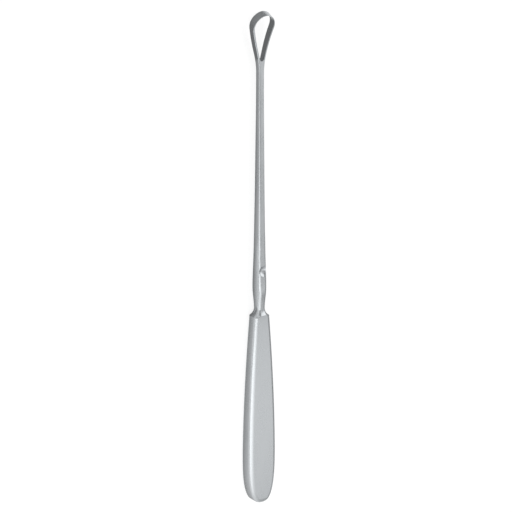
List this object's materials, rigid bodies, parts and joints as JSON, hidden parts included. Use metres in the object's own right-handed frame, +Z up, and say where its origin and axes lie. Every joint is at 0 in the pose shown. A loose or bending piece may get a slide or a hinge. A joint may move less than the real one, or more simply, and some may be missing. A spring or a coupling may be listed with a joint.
{
  "type": "uterine curette",
  "caption": "Slim one-piece steel curette: a sharp-edged teardrop loop on a tapering shank, a turned shoulder, and a flat paddle handle with rounded edges.",
  "frame": {"origin": "centre of the bounding box in plan, on the plane that the flat back of the handle rests on", "axes": "+Y along the instrument from the handle to the loop, +Z up from the resting back to the cutting side, +X to the right"},
  "size_m": [0.0176, 0.2802, 0.0096],
  "materials": {
    "satin_steel": "satin, evenly matt, with fine grinding marks"
  },
  "bodies": {
    "root": {"curette": "satin_steel"}
  },
  "joints": []
}
